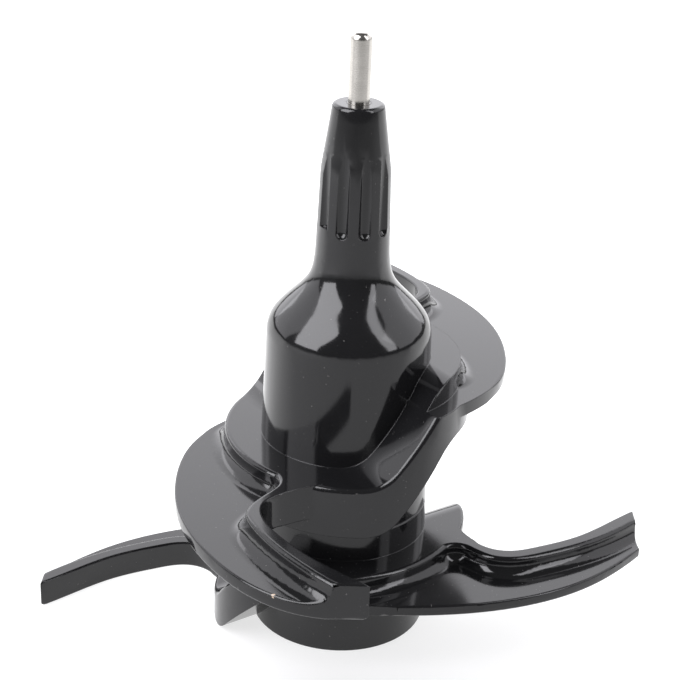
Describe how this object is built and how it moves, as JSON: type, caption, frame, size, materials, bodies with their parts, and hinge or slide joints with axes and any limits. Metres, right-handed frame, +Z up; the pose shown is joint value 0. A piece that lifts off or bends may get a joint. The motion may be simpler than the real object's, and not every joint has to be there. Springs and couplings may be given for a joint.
{
  "type": "dough blade",
  "caption": "Dough blade for a food processor bowl: hollow hub with a fluted neck and steel top pin, and curved kneading paddles stepped in height.",
  "frame": {"origin": "centre of the hub's open foot, on the spindle axis, where the blade stands", "axes": "+Z up along the spindle axis towards the top pin, -Y towards the tip of the lower of the two wide paddles"},
  "size_m": [0.138, 0.1252, 0.1353],
  "materials": {
    "moulding": "glossy black moulded plastic",
    "pin_steel": "ground and polished stainless steel"
  },
  "bodies": {
    "root": {"upper_blade": "moulding", "lower_blade": "moulding", "top_pin": "pin_steel"}
  },
  "joints": []
}
